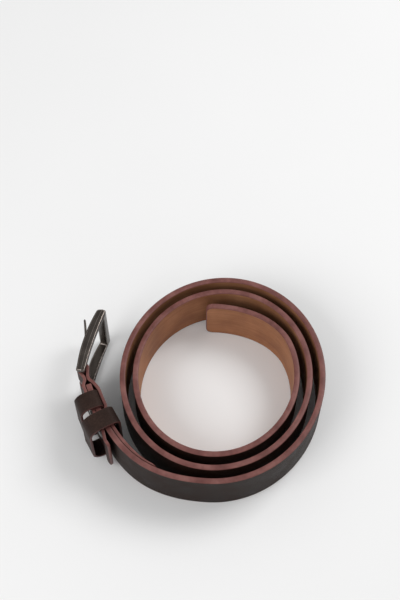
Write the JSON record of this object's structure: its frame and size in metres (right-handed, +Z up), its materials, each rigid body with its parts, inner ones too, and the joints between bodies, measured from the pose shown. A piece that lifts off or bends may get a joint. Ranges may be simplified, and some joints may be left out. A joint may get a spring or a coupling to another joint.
{
  "type": "leather belt",
  "caption": "Coiled leather dress belt with a bowed frame buckle on a swinging heel bar, a prong, a fixed keeper and a loose keeper.",
  "frame": {"origin": "centre of the bounding box in plan, on the surface that the coiled belt stands on", "axes": "+Z up across the strap's width, the coil lies round Z, the buckle is on the -X side and the coil's front is towards -Y"},
  "size_m": [0.1598, 0.1452, 0.0444],
  "materials": {
    "face_leather": "smooth semi-matt dark brown grain",
    "edge_paint": "reddish brown painted edge, satin",
    "board": "bonded leather board",
    "lining_leather": "matt tan brown lining",
    "chape_leather": "thin brown leather with painted edges",
    "keeper_leather": "smooth dark brown leather",
    "gunmetal": "polished gunmetal plating",
    "steel": "nickel plated steel"
  },
  "bodies": {
    "strap": {"strap_face": "face_leather", "strap_board": "board", "strap_lining": "lining_leather", "chape": "chape_leather", "fixed_keeper": "keeper_leather", "keeper_post": "steel", "keeper_screw": "steel", "tail_post": "steel", "tail_screw": "steel"},
    "buckle": {"buckle_frame": "gunmetal", "heel_bar": "steel"},
    "tongue": {"prong": "gunmetal"},
    "keeper_loop": {"loose_keeper": "keeper_leather", "loose_keeper_staple": "steel"}
  },
  "joints": [
    {"name": "buckle_swing", "type": "hinge", "parent": "strap", "child": "buckle", "pos_m": [-0.07521, 0.00306, 0.0224], "axis": [0, 0, 1], "range_deg": [-25, 50]},
    {"name": "prong_swing", "type": "hinge", "parent": "buckle", "child": "tongue", "pos_m": [-0.07521, 0.00306, 0.0224], "axis": [0, 0, 1], "range_deg": [-9, 90]},
    {"name": "loose_keeper_slide", "type": "slide", "parent": "strap", "child": "keeper_loop", "axis": [0.4772, -0.8788, 0], "range_m": [-0.0022, 0.01]}
  ]
}
